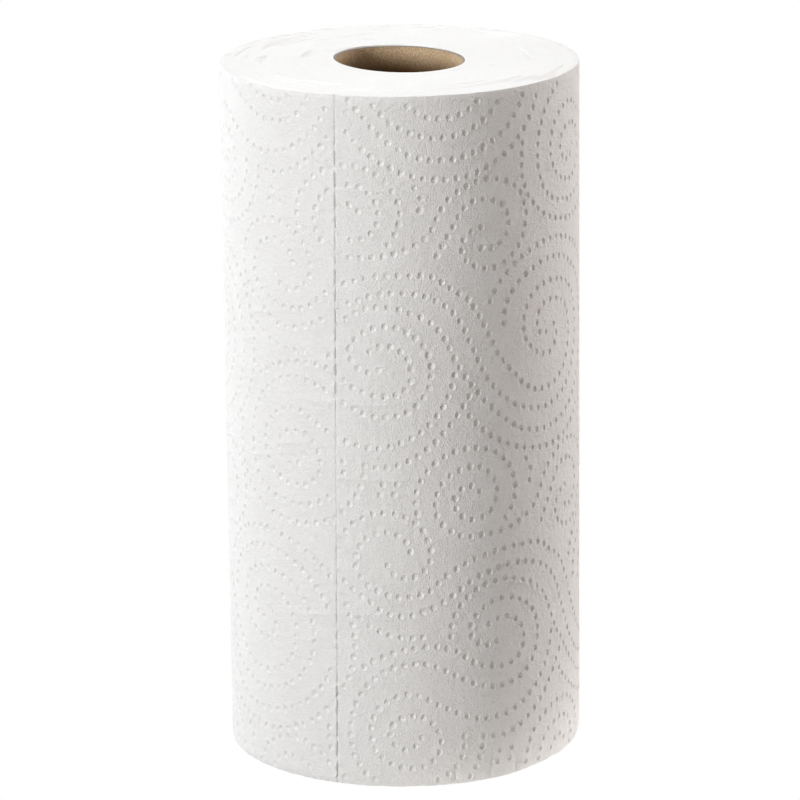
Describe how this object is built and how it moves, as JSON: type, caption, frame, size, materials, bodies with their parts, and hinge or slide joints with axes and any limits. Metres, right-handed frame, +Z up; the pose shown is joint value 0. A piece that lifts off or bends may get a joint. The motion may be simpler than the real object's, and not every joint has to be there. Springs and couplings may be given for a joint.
{
  "type": "paper towel roll",
  "caption": "Upright kitchen roll of white embossed paper towel wound on an open cardboard tube.",
  "frame": {"origin": "middle of the base, on the axis of the tube", "axes": "+Z up the axis of the roll, -Y towards the side with the perforated line"},
  "size_m": [0.1166, 0.117, 0.23],
  "materials": {
    "towel_paper": "soft matt white tissue with a dimpled emboss",
    "core_board": "matt grey-brown speckled board"
  },
  "bodies": {
    "root": {"paper_roll": "towel_paper", "cardboard_core": "core_board"}
  },
  "joints": []
}
